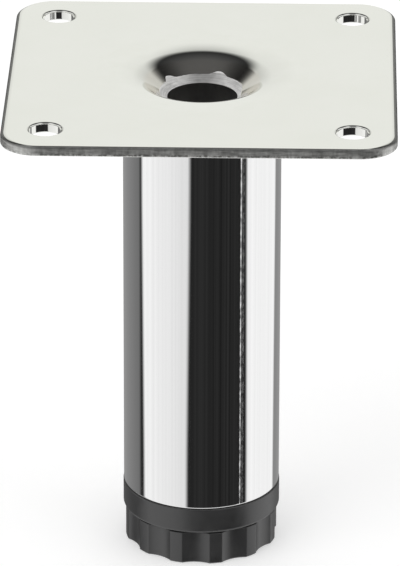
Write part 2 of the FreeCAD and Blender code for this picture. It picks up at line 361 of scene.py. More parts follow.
def plateChrome():
    finish, tree, shader, place = newFinish("plate_chrome")
    cloud = grain(tree, place, (90, 90, 90), 4.0)
    haze = grain(tree, place, (700, 2600, 700), 2.0)
    coat(tree, shader, tint(tree, cloud, *plate["chromeTones"]),
         vary(tree, haze, 0.045, 0.075), 1.0)
    return finish


def neckChrome():
    # thinner, warmer plating the further down the neck it goes
    finish, tree, shader, place = newFinish("neck_chrome")
    start, end = (plate["top"] * mm - depth * mm for depth in plate["neckDepth"])
    deep = between(tree, splitAxes(tree, place)["Z"], start, end, smooth=True)
    cloud = grain(tree, place, (260, 260, 420), 4.0)
    colour = mixColour(tree, deep, tint(tree, cloud, *plate["chromeTones"]),
                       tint(tree, cloud, *plate["neckTones"]))
    coat(tree, shader, colour, between(tree, deep, 0.0, 1.0, 0.05, 0.1), 1.0)
    return finish


def shearedSteel():
    # the torn edge of the neck: fine lines run round it, with painted shade in its middle and
    # painted highlights to the sides and on its burrs
    finish, tree, shader, place = newFinish("sheared_edge")
    lines = grain(tree, place, (160, 160, 5200), 3.0, 0.6)
    spots = grain(tree, place, (900, 900, 1500), 3.0)
    tone = mixGrain(tree, lines, spots, 0.7)
    axes = splitAxes(tree, place)
    # painted shade at the torn edge's middle, painted highlights to its sides and on the burrs that
    # climb the wall
    near, far = (reach * mm for reach in plate["paintedLightReach"])
    paintedSideLight = between(tree, calc(tree, "ABSOLUTE", axes["X"]), near, far, *plate["paintedLightTones"])
    start, end = (plate["top"] * mm - depth * mm for depth in plate["burrHighlightDepth"])
    paintedLight = calc(tree, "MAXIMUM", paintedSideLight, between(tree, axes["Z"], start, end, smooth=True))
    streaks = tint(tree, tone, (0.66, 0.655, 0.645), (1.0, 0.995, 0.98), (0.38, 0.60))
    coat(tree, shader, mixColour(tree, 1.0, streaks, paintedLight, "MULTIPLY"),
         vary(tree, lines, 0.40, 0.56), 0.2, dent(tree, lines, 0.1, 0.6))
    return finish


def cutEdge():
    # the blanked rim: plated, but streaky from the die, with painted shade under its roll, and
    # speckled below
    finish, tree, shader, place = newFinish("cut_edge")
    bottom = (plate["top"] - plate["thickness"]) * mm
    level = splitAxes(tree, place)["Z"]
    streaks = grain(tree, place, (1500, 1500, 500), 4.0, 0.65)
    dashes = grain(tree, place, (420, 420, 2600), 3.0, 0.6)
    start, end = (bottom + height * mm for height in plate["speckHeight"])
    low = between(tree, level, start, end, 0.0, plate["speckContrast"], smooth=True)
    specks = calc(tree, "SUBTRACT", grain(tree, place, (1900, 1900, 1200), 2.0), 0.5)
    tone = calc(tree, "ADD", mixGrain(tree, streaks, dashes, 0.5),
                calc(tree, "MULTIPLY", low, specks))
    steel = tint(tree, tone, (0.38, 0.38, 0.365), (0.73, 0.73, 0.71), (0.34, 0.66))
    # painted shade along the top of the cut, under the roll
    start, end = (bottom + height * mm for height in plate["paintedShadeHeight"])
    paintedShade = between(tree, level, start, end, 1.0, plate["paintedShadeTone"], smooth=True)
    coat(tree, shader, mixColour(tree, 1.0, steel, paintedShade, "MULTIPLY"),
         vary(tree, tone, 0.34, 0.5, (0.35, 0.65)), 1.0, dent(tree, tone, 0.08, 0.55))
    return finish


def roundedSquare(insetX, insetY, level):
    radius = plate["cornerRadius"]
    halfX = (plateHigh.x - plateLow.x) / 2 - radius
    halfY = (plateHigh.y - plateLow.y) / 2 - radius
    points = []
    for quarter, (sideX, sideY) in enumerate(((1, 1), (-1, 1), (-1, -1), (1, -1))):
        for k in range(plate["cornerSteps"] + 1):
            angle = pi / 2 * (quarter + k / plate["cornerSteps"])
            points.append(Vector((sideX * halfX + (radius - insetX) * cos(angle),
                                  sideY * halfY + (radius - insetY) * sin(angle), level)) * mm)
    return points


def arcRows(middleRadius, middleLevel, radius, slopeFrom, slopeTo, steps):
    return [(middleRadius - radius * sin(slope), middleLevel + radius * cos(slope))
            for slope in (slopeFrom + (slopeTo - slopeFrom) * k / steps for k in range(steps + 1))]


def tearLine(angle):
    # how far the torn edge climbs the neck's wall there, in millimetres
    climb = plate["tearBack"] - plate["tearLean"] * (1 - sin(angle))
    for burr in plate["burrs"]:
        away = (angle / tau * 360 - burr["at"] + 180) % 360 - 180
        share = min(1.0, abs(away) / burr["reach"][away > 0])
        climb += burr["height"] * (1 - share * share) ** 2
    return climb + sum(wave["height"] * sin(wave["waves"] * angle + wave["shift"])
                       for wave in plate["ragged"])


def neckLoops(bm):
    top, thick, steps = plate["top"], plate["thickness"], plate["neckSteps"]
    dish, wall = radians(plate["dishSlope"]), radians(plate["wallSlope"])
    dishRadius, bend = plate["dishRadius"], plate["bendRadius"]
    dishAxis = (plate["mouthRadius"], top - dishRadius)
    upper = arcRows(*dishAxis, dishRadius, 0, dish, plate["dishRows"])
    bendAxis = (upper[-1][0] + bend * sin(dish), upper[-1][1] - bend * cos(dish))
    upper += arcRows(*bendAxis, bend, dish, wall, plate["bendRows"])[1:]
    alongWall = Vector((cos(wall), sin(wall)))
    wallEnd = Vector(upper[-1]) - alongWall * plate["wallRun"]
    neckEnd = wallEnd - Vector((plate["shearInset"], plate["shearHeight"]))
    lip = acos((neckEnd.y - bendAxis[1]) / (bend - thick))
    lower = arcRows(*bendAxis, bend - thick, lip, dish, plate["lipRows"])
    lower += arcRows(*dishAxis, dishRadius - thick, dish, 0, plate["underRows"])[1:]

    def wallRow(place):
        # place gives radius and level from the torn point at that angle
        points = []
        for k in range(steps):
            angle = tau * k / steps
            radius, level = place(wallEnd + alongWall * tearLine(angle))
            points.append(Vector((radius * cos(angle), radius * sin(angle), level)) * mm)
        return loopOf(bm, points)

    loops = [loopOf(bm, circlePoints(radius, level, steps)) for radius, level in upper]
    loops += [wallRow(lambda tornAt: Vector(upper[-1]).lerp(tornAt, share))
              for share in plate["wallShares"]]
    skinRows(bm, loops, onNeck)
    step = Vector((plate["tearStep"], 0))
    torn = loops[-1:] + [wallRow(lambda tornAt: (tornAt - step).lerp(neckEnd, share))
                         for share in plate["tornShares"]]
    skinRows(bm, torn, onTear)
    under = [loopOf(bm, circlePoints(radius, level, steps)) for radius, level in lower]
    skin(bm, torn[-1], under[0], onTear)
    skinRows(bm, under, onFlat)
    return loops[0], under[-1]


def fillFlat(bm, loops):
    edges = []
    for loop in loops:
        for first, second in zip(loop, loop[1:] + loop[:1]):
            edges.append(bm.edges.get((first, second)) or bm.edges.new((first, second)))
    bmesh.ops.triangle_fill(bm, edges=edges, use_beauty=True, use_dissolve=False)


def makePlate(finishes):
    bm = bmesh.new()
    top, bottom = plate["top"], plate["top"] - plate["thickness"]
    beyond = 2.0                  # end of a run that only gives a round its direction
    rollX, rollY = plate["edgeRoll"]
    rim = [(rollX + holdRun, rollY + holdRun, top)]
    for k in range(plate["edgeRows"] + 1):
        turned = pi / 2 * k / plate["edgeRows"]
        left = 1 - sin(turned)
        rim.append((rollX * left, rollY * left, top - plate["edgeDrop"] * (1 - cos(turned))))
    below = softSection([(0.0, rim[-1][2], 0), (0.0, bottom, plate["lowerRound"]),
                         (-beyond, bottom, 0)])
    rim += [(-out, -out, level) for out, level in below[1:-1]]
    loops = [loopOf(bm, roundedSquare(*row)) for row in rim]
    cutLow = bottom + plate["lowerRound"] * plate["stillBright"][0]
    cutHigh = top - plate["edgeDrop"] * plate["stillBright"][1]
    for k, (first, second) in enumerate(zip(loops, loops[1:])):
        middle = (rim[k][2] + rim[k + 1][2]) / 2
        skin(bm, first, second, onCut if cutLow < middle < cutHigh else onFlat)
    topLoops, bottomLoops = [loops[0]], [loops[-1]]

    screw = plate["screwRadius"]
    well = softSection([(screw + beyond, top, 0), (screw, top, plate["screwRound"]),
                        (screw, bottom, plate["lowerRound"]), (screw + beyond, bottom, 0)])[1:-1]
    for sideX in (-1, 1):
        for sideY in (-1, 1):
            middle = (sideX * plate["screwOffset"], sideY * plate["screwOffset"])
            holes = [loopOf(bm, circlePoints(radius, level, plate["screwSteps"], 0, middle))
                     for radius, level in well]
            skinRows(bm, holes, onFlat)
            topLoops.append(holes[0])
            bottomLoops.append(holes[-1])

    mouth, underMouth = neckLoops(bm)
    for ring, level, edgeLoops in ((mouth, top, topLoops), (underMouth, bottom, bottomLoops)):
        held = loopOf(bm, circlePoints(plate["mouthRadius"] + holdRun, level, plate["neckSteps"]))
        skin(bm, ring, held, onFlat)
        edgeLoops.append(held)
    fillFlat(bm, topLoops)
    fillFlat(bm, bottomLoops)
    piece = putOnBench("dressed_plate", bm, finishes)
    smoothOff(piece)
    return piece


platePiece = makePlate([plateChrome(), neckChrome(), shearedSteel(), cutEdge()])
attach(platePiece, "leg")
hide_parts("mounting_plate")
print("plate: blank, four screw holes and neck", len(platePiece.data.polygons))


# Tube: welded, drawn and plated, with its seam a little right of the front

tubeLow, tubeHigh = (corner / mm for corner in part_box("leg_tube"))
tube = {
    "radius": 15.0,
    "wall": 1.5,
    "endRound": 0.4,
    "boreRound": 0.2,
    "columns": 240,
    "rowStep": 0.4,
    "seamAngle": -60.6,      # degrees from +X, where the seam lies at the front right
    "seamWidth": 0.48,       # half width
    "seamHeight": 0.048,
    "seamShares": (0.2, 0.4, 0.6, 0.8, 1.0),     # finer columns across the bead
    "seamMean": 0.72,
    "seamLumps": (           # waves along the bead, in radians per millimetre
        {"height": 0.12, "waves": 1.3, "shift": 0.0},
        {"height": 0.16, "waves": 5.3, "shift": 1.3},
        {"height": 0.2, "waves": 11.9, "shift": 0.4},
    ),
    "dressedFrom": (0.4, 0.8),   # degrees from the seam where its dressed strip begins
    "dressedTo": (4.4, 3.6),     # and ends
    "dressedDull": (0.07, 0.17),
}


def tubeChrome():
    # drawn tube: faint lines along its length under the plating, duller where the weld was dressed
    finish, tree, shader, place = newFinish("tube_chrome")
    drawLines = grain(tree, place, (620, 620, 5), 3.0, 0.6)
    cloud = grain(tree, place, (140, 140, 60), 3.0)
    axes = splitAxes(tree, place)
    away = calc(tree, "SUBTRACT", calc(tree, "ARCTAN2", axes["Y"], axes["X"]),
                radians(tube["seamAngle"]))
    strip = calc(tree, "MULTIPLY",
                 between(tree, away, *(radians(angle) for angle in tube["dressedFrom"])),
                 between(tree, away, *(radians(angle) for angle in tube["dressedTo"])))
    scuffs = grain(tree, place, (2100, 2100, 1000), 3.0)
    dressed = calc(tree, "MULTIPLY", strip,
                   vary(tree, scuffs, *tube["dressedDull"], (0.35, 0.65)))
    polish = vary(tree, cloud, 0.035, 0.06)
    coat(tree, shader, tint(tree, drawLines, grey(0.92), grey(0.955)),
         calc(tree, "ADD", polish, dressed), 1.0, dent(tree, drawLines, 0.02, 0.12))
    return finish


def bareBore():
    # the tube's inside, where the plating does not reach
    finish, tree, shader, place = newFinish("bare_bore")
    scale = grain(tree, place, (300, 300, 90), 4.0, 0.65)
    coat(tree, shader, tint(tree, scale, (0.26, 0.255, 0.25), (0.40, 0.39, 0.38)),
         vary(tree, scale, 0.5, 0.7), 0.3)
    return finish


def seamRise(across, level):
    # a fine ragged bead, millimetres across from the seam's middle and along the tube
    share = across / tube["seamWidth"]
    if abs(share) >= 1:
        return 0.0
    lumps = sum((wave["height"] * sin(wave["waves"] * level + wave["shift"])
                 for wave in tube["seamLumps"]), tube["seamMean"])
    return tube["seamHeight"] * lumps * (1 - share * share) ** 2


def makeTube(finishes):
    bm = bmesh.new()
    onWall, onBore = range(len(finishes))
    slack = 1e-6
    seam = radians(tube["seamAngle"])
    angles = [seam + tau * k / tube["columns"] for k in range(tube["columns"])]
    for share in tube["seamShares"]:
        reach = share * tube["seamWidth"] / tube["radius"]
        angles += [seam - reach, seam + reach]
    angles = sorted({round((angle - seam + pi) % tau - pi, 7) for angle in angles})
    outer, inner = tube["radius"], tube["radius"] - tube["wall"]
    section = softSection([(outer, tubeHigh.z, 0), (outer, tubeLow.z, tube["endRound"]),
                           (inner, tubeLow.z, tube["boreRound"]), (inner, tubeHigh.z, 0)])
    fall = section[1][1] - tubeHigh.z
    runRows = int(-fall / tube["rowStep"])
    rows = [(outer, tubeHigh.z + fall * k / runRows) for k in range(runRows)] + section[1:]
    loops = []
    for radius, level in rows:
        points = []
        for angle in angles:
            reach = radius
            if radius > outer - slack:
                reach += seamRise(angle * outer, level)
            points.append(Vector((reach * cos(seam + angle),
                                  reach * sin(seam + angle), level)) * mm)
        loops.append(loopOf(bm, points))
    for k, (first, second) in enumerate(zip(loops, loops[1:] + loops[:1])):
        boreSide = rows[k][0] < inner + slack and k < len(rows) - 1
        skin(bm, first, second, onBore if boreSide else onWall)
    piece = putOnBench("dressed_tube", bm, finishes)
    smoothOff(piece)
    return piece


tubePiece = makeTube([tubeChrome(), bareBore()])
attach(tubePiece, "leg")
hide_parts("leg_tube")
print("tube: wall, rounded end and seam", len(tubePiece.data.polygons))


# Insert: a collar under the tube's end, a plug with crush ribs, a pocket for the nut

insertLow, insertHigh = (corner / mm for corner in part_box("tube_insert"))
insert = {
    "collarRadius": 15.1,
    "collarTop": tubeLow.z,
    "collarTopRound": 0.25,
    "collarLowRound": 0.6,
    "plugRadius": 12.8,
    "plugRound": 1.0,
    "plugFootRound": 0.1,
    "boreRadius": 4.5,
    "boreRound": 0.3,
    "acrossFlats": 13.2,
    "pocketDepth": 6.8,
    "leadIn": ((0.25, 0.0), (0.05, 0.03), (0.0, 0.18)),  # height in the pocket, and widening
    "faceRadius": 9.0,       # the flat underside starts here, outside the pocket
    "steps": 240,
    "ribCount": 8,
    "ribWidth": 1.5,
    "ribReach": 13.46,
    "ribRoot": 12.1,
    "ribGap": 0.01,          # over the collar
}


def hexRadius(angle):
    # distance to a hexagon's side, with a corner on +X
    away = (angle + radians(30)) % radians(60) - radians(30)
    side = (away + radians(60)) % radians(60) - radians(30)
    return insert["acrossFlats"] / 2 / cos(side)


def ribTree():
    tree, given, keys = startTree("crush_ribs", {
        "Count": count, "Root Radius": length, "Outer Radius": length, "Width": length,
        "Low": length, "High": length, "Plastic": stuff})
    tall = calc(tree, "SUBTRACT", given["High"], given["Low"])
    deep = calc(tree, "SUBTRACT", given["Outer Radius"], given["Root Radius"])
    size = addNode(tree, "ShaderNodeCombineXYZ", X=deep, Y=given["Width"], Z=tall)
    block = addNode(tree, "GeometryNodeMeshCube", Size=size.outputs[0])
    halfway = calc(tree, "MULTIPLY",
                   calc(tree, "ADD", given["Outer Radius"], given["Root Radius"]), 0.5)
    middle = calc(tree, "MULTIPLY", calc(tree, "ADD", given["High"], given["Low"]), 0.5)
    ring = addNode(tree, "GeometryNodeMeshCircle", Vertices=given["Count"], Radius=halfway)
    lift = addNode(tree, "ShaderNodeCombineXYZ", Z=middle)
    raised = addNode(tree, "GeometryNodeTransform", Geometry=ring.outputs[0],
                     Translation=lift.outputs[0])
    order = addNode(tree, "GeometryNodeInputIndex").outputs[0]
    heading = calc(tree, "DIVIDE", calc(tree, "MULTIPLY", order, tau), given["Count"])
    spun = addNode(tree, "ShaderNodeCombineXYZ", Z=heading)
    ribs = addNode(tree, "GeometryNodeInstanceOnPoints", Points=raised.outputs[0],
                   Instance=block.outputs[0], Rotation=spun.outputs[0])
    closeTree(tree, joinParts(tree, given["Geometry"], ribs.outputs[0]), given["Plastic"])
    return tree, keys


def makeInsert(finish):
    bm = bmesh.new()
    low, high = insertLow.z, insertHigh.z
    ceiling = low + insert["pocketDepth"]
    steps = insert["steps"]
    pocket = []
    mouth = [(low + height, grow) for height, grow in insert["leadIn"]]
    for level, grow in [(ceiling, 0.0)] + mouth:
        points = []
        for angle in (tau * k / steps for k in range(steps)):
            radius = hexRadius(angle) + grow
            points.append(Vector((radius * cos(angle), radius * sin(angle), level)) * mm)
        pocket.append(loopOf(bm, points))
    skinRows(bm, pocket)
    collar, collarTop = insert["collarRadius"], insert["collarTop"]
    outside = softSection([(insert["faceRadius"], low, 0), (collar, low, insert["collarLowRound"]),
                           (collar, collarTop, insert["collarTopRound"]),
                           (insert["plugRadius"], collarTop, insert["plugFootRound"]),
                           (insert["plugRadius"], high, insert["plugRound"]),
                           (insert["boreRadius"], high, insert["boreRound"]),
                           (insert["boreRadius"], ceiling, 0)])
    loops = turn(bm, outside, steps)
    skin(bm, pocket[-1], loops[0])
    skin(bm, loops[-1], pocket[0])
    piece = putOnBench("dressed_insert", bm, [finish])
    tree, keys = ribTree()
    growTree(piece, tree, keys, {
        "Count": insert["ribCount"], "Root Radius": insert["ribRoot"] * mm,
        "Outer Radius": insert["ribReach"] * mm, "Width": insert["ribWidth"] * mm,
        "Low": (collarTop + insert["ribGap"]) * mm, "High": (high - insert["plugRound"]) * mm,
        "Plastic": finish})
    smoothOff(piece)
    return piece


insertPiece = makeInsert(blackPlastic("insert_plastic"))
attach(insertPiece, "leg")
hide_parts("tube_insert")
print("insert: collar, plug and", insert["ribCount"], "crush ribs", len(insertPiece.data.polygons))


# Foot: a turned disc whose rim is scalloped by a rule, with room for the spindle's flange

footLow, footHigh = (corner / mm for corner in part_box("adjusting_foot"))
foot = {
    "radius": 14.7,
    "edgeRound": 0.3,
    "topRound": 0.25,
    "rimWidth": 4.7,
    "recessDepth": 0.8,
    "recessRound": 0.2,
    "cavityLow": 2.2,
    "cavityHigh": 4.75,
    "cavityRadius": 7.05,
    "boreRadius": 4.05,
    "boreRound": 0.2,
    "fluteCount": 12,
    "fluteRadius": 6.3,
    "fluteDepth": 0.8,
    "fluteInset": 0.4,       # a flute has its whole depth this far in from the rim
    "fluteAngle": -2.7,
    "steps": 600,
}


def fluteTree():
    tree, given, keys = startTree("foot_flutes", {
        "Flute Count": count, "Flute Radius": length, "Flute Depth": length, "Flute Inset": length,
        "Foot Radius": length, "Rim Width": length, "Start Angle": length, "Plastic": stuff})
    place = addNode(tree, "GeometryNodeInputPosition").outputs[0]
    axes = splitAxes(tree, place)
    across, ahead, level = axes["X"], axes["Y"], axes["Z"]
    radius = calc(tree, "SQRT", calc(tree, "ADD", calc(tree, "MULTIPLY", across, across),
                                     calc(tree, "MULTIPLY", ahead, ahead)))
    pitch = calc(tree, "DIVIDE", tau, given["Flute Count"])
    halfPitch = calc(tree, "MULTIPLY", pitch, 0.5)
    angle = calc(tree, "SUBTRACT", calc(tree, "ARCTAN2", ahead, across), given["Start Angle"])
    away = calc(tree, "WRAP", angle, halfPitch, calc(tree, "MULTIPLY", halfPitch, -1.0))
    # each flute is a round groove whose axis stands outside the rim
    fluteRadius, footRadius = given["Flute Radius"], given["Foot Radius"]
    axisAt = calc(tree, "ADD", calc(tree, "SUBTRACT", footRadius, given["Flute Depth"]),
                  fluteRadius)
    side = calc(tree, "MULTIPLY", axisAt, calc(tree, "SINE", away))
    room = calc(tree, "SUBTRACT", calc(tree, "MULTIPLY", fluteRadius, fluteRadius),
                calc(tree, "MULTIPLY", side, side))
    groove = calc(tree, "SUBTRACT", calc(tree, "MULTIPLY", axisAt, calc(tree, "COSINE", away)),
                  calc(tree, "SQRT", calc(tree, "MAXIMUM", room, 0.0)))
    cut = calc(tree, "MAXIMUM", calc(tree, "SUBTRACT", footRadius, groove), 0.0)
    # the whole cut at the wall, none at the rim's inner edge
    inner = calc(tree, "SUBTRACT", footRadius, given["Rim Width"])
    share = between(tree, radius, inner, calc(tree, "SUBTRACT", footRadius, given["Flute Inset"]))
    nearAxis = 1e-6               # keeps the middle from a division by nothing
    scale = calc(tree, "DIVIDE", calc(tree, "SUBTRACT", radius, calc(tree, "MULTIPLY", cut, share)),
                 calc(tree, "MAXIMUM", radius, nearAxis))
    moved = addNode(tree, "ShaderNodeCombineXYZ", X=calc(tree, "MULTIPLY", across, scale),
                    Y=calc(tree, "MULTIPLY", ahead, scale), Z=level)
    shaped = addNode(tree, "GeometryNodeSetPosition", Geometry=given["Geometry"],
                     Position=moved.outputs[0])
    closeTree(tree, shaped.outputs[0], given["Plastic"])
    return tree, keys


def makeFoot(finish):
    bm = bmesh.new()
    low, high = footLow.z, footHigh.z
    recess, recessRound = low + foot["recessDepth"], foot["recessRound"]
    outer, inner = foot["radius"], foot["radius"] - foot["rimWidth"]
    bore, cavity = foot["boreRadius"], foot["cavityRadius"]
    section = softSection([(0, recess, 0), (inner, recess, recessRound), (inner, low, recessRound),
                           (outer, low, foot["edgeRound"]), (outer, high, foot["topRound"]),
                           (bore, high, foot["boreRound"]),
                           (bore, foot["cavityHigh"], 0), (cavity, foot["cavityHigh"], 0),
                           (cavity, foot["cavityLow"], 0), (0, foot["cavityLow"], 0)])
    turn(bm, section, foot["steps"], radians(foot["fluteAngle"]))
    piece = putOnBench("dressed_foot", bm, [finish])
    tree, keys = fluteTree()
    growTree(piece, tree, keys, {
        "Flute Count": foot["fluteCount"], "Flute Radius": foot["fluteRadius"] * mm,
        "Flute Depth": foot["fluteDepth"] * mm, "Flute Inset": foot["fluteInset"] * mm,
        "Foot Radius": foot["radius"] * mm, "Rim Width": foot["rimWidth"] * mm,
        "Start Angle": radians(foot["fluteAngle"]), "Plastic": finish})
    smoothOff(piece)
    return piece


footPiece = makeFoot(blackPlastic("foot_plastic"))
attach(footPiece, "foot")
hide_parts("adjusting_foot")
print("foot: disc with", foot["fluteCount"], "flutes", len(footPiece.data.polygons))


# Spindle: a flange that the foot is moulded round, and a rolled M8 thread

spindleLow, spindleHigh = (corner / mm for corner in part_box("adjusting_spindle"))
spindle = {
    "flangeRadius": 7.0,
    "flangeHeight": 2.5,
    "flangeRound": 0.2,
    "crestRadius": 3.99,
    "rootRadius": 3.25,
    "pitch": 1.25,
    "flank": (0.75, 0.125),  # where the flank starts and ends, as shares of half a pitch
    "tipChamfer": 1.0,
    "weldWithin": 0.002,
    "columns": 96,
    "rowsPerTurn": 12,
    "crease": 30,
}


def threadTree():
    tree, given, keys = startTree("rolled_thread", {
        "Low": length, "Turns": count, "Pitch": length, "Root Radius": length,
        "Crest Radius": length, "Flank Start": length, "Flank End": length, "Top": length,
        "Tip Chamfer": length, "Columns": count, "Rows": count, "Weld": length, "Steel": stuff})
    root, crest = given["Root Radius"], given["Crest Radius"]
    low, top = given["Low"], given["Top"]
    sheet = addNode(tree, "GeometryNodeMeshGrid", **{
        "Size X": 1.0, "Size Y": 1.0, "Vertices X": given["Columns"], "Vertices Y": given["Rows"]})
    place = addNode(tree, "GeometryNodeInputPosition").outputs[0]
    axes = splitAxes(tree, place)
    around = calc(tree, "ADD", axes["X"], 0.5)
    turns = calc(tree, "MULTIPLY", calc(tree, "ADD", axes["Y"], 0.5), given["Turns"])
    # the sheet is wound up one pitch for each time round
    climb = calc(tree, "MULTIPLY", calc(tree, "SUBTRACT", calc(tree, "ADD", turns, around), 1.0),
                 given["Pitch"])
    level = calc(tree, "ADD", low, climb)
    level = calc(tree, "MINIMUM", calc(tree, "MAXIMUM", level, low), top)
    justPast = 0.0001             # keeps a row that ends a turn in the next one
    phase = calc(tree, "FRACT", calc(tree, "ADD", turns, justPast))
    slant = calc(tree, "ABSOLUTE", calc(tree, "SUBTRACT", calc(tree, "MULTIPLY", phase, 2.0), 1.0))
    height = calc(tree, "SUBTRACT", crest, root)
    flank = between(tree, slant, given["Flank Start"], given["Flank End"])
    profile = calc(tree, "ADD", root, calc(tree, "MULTIPLY", flank, height))
    runOut = calc(tree, "ADD", root, calc(tree, "SUBTRACT", level, low))
    tip = calc(tree, "SUBTRACT", calc(tree, "ADD", crest, calc(tree, "SUBTRACT", top, level)),
               given["Tip Chamfer"])
    radius = calc(tree, "MINIMUM", calc(tree, "MINIMUM", profile, runOut), tip)
    angle = calc(tree, "MULTIPLY", around, tau)
    wound = addNode(tree, "ShaderNodeCombineXYZ", Z=level,
                    X=calc(tree, "MULTIPLY", radius, calc(tree, "COSINE", angle)),
                    Y=calc(tree, "MULTIPLY", radius, calc(tree, "SINE", angle)))
    thread = addNode(tree, "GeometryNodeSetPosition", Geometry=sheet.outputs[0],
                     Position=wound.outputs[0])
    end = addNode(tree, "GeometryNodeMeshCircle", {"fill_type": "TRIANGLE_FAN"},
                  Vertices=calc(tree, "SUBTRACT", given["Columns"], 1.0),
                  Radius=calc(tree, "SUBTRACT", crest, given["Tip Chamfer"]))
    lift = addNode(tree, "ShaderNodeCombineXYZ", Z=top)
    cap = addNode(tree, "GeometryNodeTransform", Geometry=end.outputs[0],
                  Translation=lift.outputs[0])
    parts = joinParts(tree, given["Geometry"], thread.outputs[0], cap.outputs[0])
    welded = addNode(tree, "GeometryNodeMergeByDistance", Geometry=parts, Distance=given["Weld"])
    closeTree(tree, welded.outputs[0], given["Steel"])
    return tree, keys


def makeSpindle(finish):
    bm = bmesh.new()
    low, top = spindleLow.z, spindleHigh.z
    threadLow = low + spindle["flangeHeight"]
    flange, flangeRound = spindle["flangeRadius"], spindle["flangeRound"]
    section = softSection([(0, low, 0), (flange, low, flangeRound),
                           (flange, threadLow, flangeRound), (spindle["rootRadius"], threadLow, 0)])
    turn(bm, section, spindle["columns"])
    piece = putOnBench("dressed_spindle", bm, [finish])
    turns = ceil((top - threadLow) / spindle["pitch"]) + 2
    tree, keys = threadTree()
    growTree(piece, tree, keys, {
        "Low": threadLow * mm, "Turns": turns, "Pitch": spindle["pitch"] * mm,
        "Root Radius": spindle["rootRadius"] * mm, "Crest Radius": spindle["crestRadius"] * mm,
        "Flank Start": spindle["flank"][0], "Flank End": spindle["flank"][1],
        "Top": top * mm, "Tip Chamfer": spindle["tipChamfer"] * mm,
        "Columns": spindle["columns"] + 1, "Rows": turns * spindle["rowsPerTurn"] + 1,
        "Weld": spindle["weldWithin"] * mm, "Steel": finish})
    tidy = bmesh.new()
    tidy.from_mesh(piece.data)
    bmesh.ops.dissolve_degenerate(tidy, edges=tidy.edges, dist=mergeWithin)
    bmesh.ops.recalc_face_normals(tidy, faces=tidy.faces)
    tidy.to_mesh(piece.data)
    tidy.free()
    smoothOff(piece, spindle["crease"])
    return piece


zinc = zincSteel()
spindlePiece = makeSpindle(zinc)
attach(spindlePiece, "spindle")
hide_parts("adjusting_spindle")
print("spindle: flange and thread", len(spindlePiece.data.polygons))

# The nut keeps its solid and takes the spindle's zinc
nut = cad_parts["thread_nut"]
nut.data.materials.clear()
nut.data.materials.append(zinc)
print("nut: zinc on its own solid")


# Studio: pale floor, soft lamps, and the cards that the chrome mirrors

floor = {
    "size": 6.0,
    "drop": 0.00004,
    "tone": 0.80,
    "cloud": 0.004,          # how much the tone varies, up and down
    "lift": (0.36, 0.55),    # lifts the floor to a paper white for the camera alone, near and far
    "liftReach": (0.35, 1.4),
}


def makeFloor():
    finish, tree, shader, place = newFinish("studio_floor")
    cloud = grain(tree, place, (3, 3, 3), 3.0)
    coat(tree, shader, tint(tree, cloud, grey(floor["tone"] - floor["cloud"]),
                            grey(floor["tone"] + floor["cloud"])), 0.9)
    shader.inputs["Specular IOR Level"].default_value = 0.0
    shader.inputs["Emission Color"].default_value = (1.0, 1.0, 1.0, 1.0)
    seen = addNode(tree, "ShaderNodeLightPath").outputs["Is Camera Ray"]
    away = addNode(tree, "ShaderNodeVectorMath", {"operation": "LENGTH"}, Vector=place)
    lift = between(tree, away.outputs["Value"], *floor["liftReach"], *floor["lift"], smooth=True)
    plug(tree, calc(tree, "MULTIPLY", seen, lift), shader.inputs["Emission Strength"])
    bm = bmesh.new()
    half = floor["size"] / 2
    corners = ((-half, -half), (half, -half), (half, half), (-half, half))
    bm.faces.new(loopOf(bm, [Vector((x, y, -floor["drop"])) for x, y in corners]))
    mesh = bpy.data.meshes.new("studio_floor")
    bm.to_mesh(mesh)
    bm.free()
    mesh.materials.append(finish)
    sheet = bpy.data.objects.new("studio_floor", mesh)
    scene.collection.objects.link(sheet)
    sheet.visible_glossy = False      # the chrome mirrors the studio's cards instead
    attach(sheet, "spindle")         # it stays under the foot as the foot is wound out


makeFloor()

lamps = {
    "key": {"at": (-0.9, -0.8, 1.5), "size": 1.2, "watts": 7.0},
    "fill": {"at": (1.2, -0.5, 1.0), "size": 1.4, "watts": 3.5},
    "back": {"at": (0.1, 1.3, 1.4), "size": 1.4, "watts": 4.0},
}


def makeLamps():
    aim = Vector((0, 0, 0.05))
    for name, lamp in lamps.items():
        data = bpy.data.lights.new(name + "_lamp", "AREA")
        data.energy, data.size = lamp["watts"], lamp["size"]
        holder = bpy.data.objects.new(name + "_lamp", data)
        holder.location = lamp["at"]
        holder.rotation_euler = (aim - holder.location).to_track_quat("-Z", "Y").to_euler()
        holder.visible_glossy = False
        scene.collection.objects.link(holder)


makeLamps()

# What the chrome mirrors: a white card on each side, in degrees from the front, left negative
cards = (
    {"from": -97, "to": -17, "soft": 7, "narrows": 4, "tones": (1.0, 0.8)},
    {"from": 70, "to": 136, "soft": 6, "narrows": 2, "tones": (0.98, 0.97)},
)
